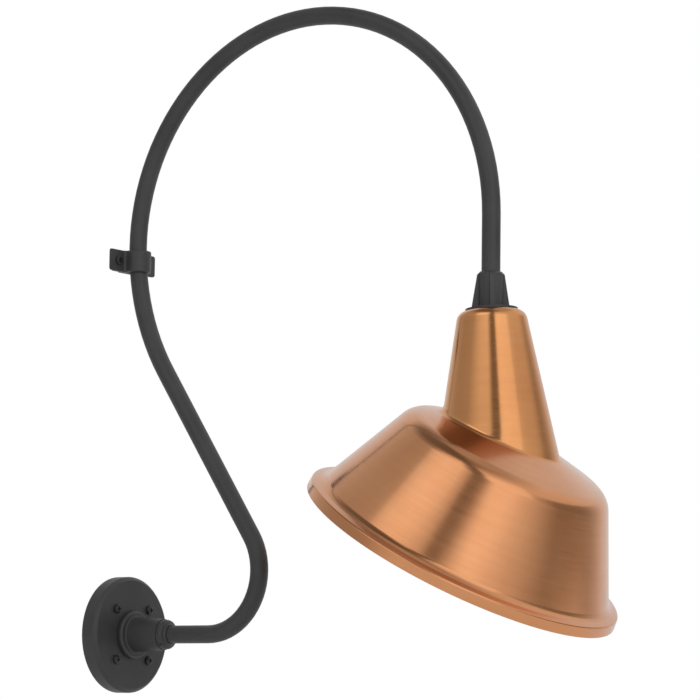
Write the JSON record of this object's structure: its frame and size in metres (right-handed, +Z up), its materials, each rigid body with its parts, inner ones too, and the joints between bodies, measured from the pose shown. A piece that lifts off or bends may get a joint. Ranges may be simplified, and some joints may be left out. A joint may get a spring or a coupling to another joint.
{
  "type": "gooseneck wall sconce",
  "caption": "Wall light with a round canopy, a long hooked tube arm braced by a wall clamp, and an angled copper barn shade on a ribbed collar with a screw lamp inside.",
  "frame": {"origin": "centre of the canopy on the wall plane", "axes": "+Z up, +Y into the wall, so the light reaches out along -Y; +X to the right when facing the wall"},
  "size_m": [0.3379, 0.5904, 0.7196],
  "materials": {
    "black_coat": "fine-textured matte black powder coat",
    "black_screws": "black oxide, slightly glossy",
    "copper": "satin brushed copper under clear lacquer",
    "zinc_steel": "bright zinc plate",
    "brass": "plain brass",
    "porcelain": "white glaze",
    "wire_black": "black insulation",
    "wire_white": "white insulation",
    "opal_glass": "opal white",
    "lamp_metal": "bright rolled sheet",
    "lamp_black": "black glass insulator"
  },
  "bodies": {
    "arm": {"mounting_plate": "zinc_steel", "ground_screw": "brass", "canopy": "black_coat", "canopy_screws": "black_screws", "hub": "black_coat", "hub_washer": "zinc_steel", "hub_locknut": "zinc_steel", "gland_nut": "black_coat", "gland_screw": "black_screws", "arm_tube": "black_coat", "live_wire": "wire_black", "neutral_wire": "wire_white", "clamp_base": "black_coat", "clamp_strap": "black_coat", "clamp_screws": "black_screws", "clamp_nuts": "zinc_steel"},
    "head": {"collar": "black_coat", "collar_screw": "black_screws", "shade_flange": "black_coat", "shade_neck": "copper", "shade_bowl": "copper", "nipple": "zinc_steel", "lockwasher": "zinc_steel", "nipple_locknut": "zinc_steel", "lampholder_cap": "brass", "lampholder_body": "porcelain", "lampholder_screws": "zinc_steel", "lampholder_shell": "brass", "centre_contact": "brass", "terminal_screws": "brass", "live_lead": "wire_black", "neutral_lead": "wire_white"},
    "lamp": {"lamp_tip": "brass", "lamp_insulator": "lamp_black", "lamp_cap": "lamp_metal", "lamp_globe": "opal_glass"}
  },
  "joints": [
    {"name": "shade_swivel", "type": "hinge", "parent": "arm", "child": "head", "pos_m": [0, -0.47247, 0.34206], "axis": [0, 0, 1], "range_deg": [-175, 175]},
    {"name": "lamp_unscrew", "type": "slide", "parent": "head", "child": "lamp", "axis": [0, -0.0558, -0.9984], "range_m": [0, 0.26]}
  ]
}
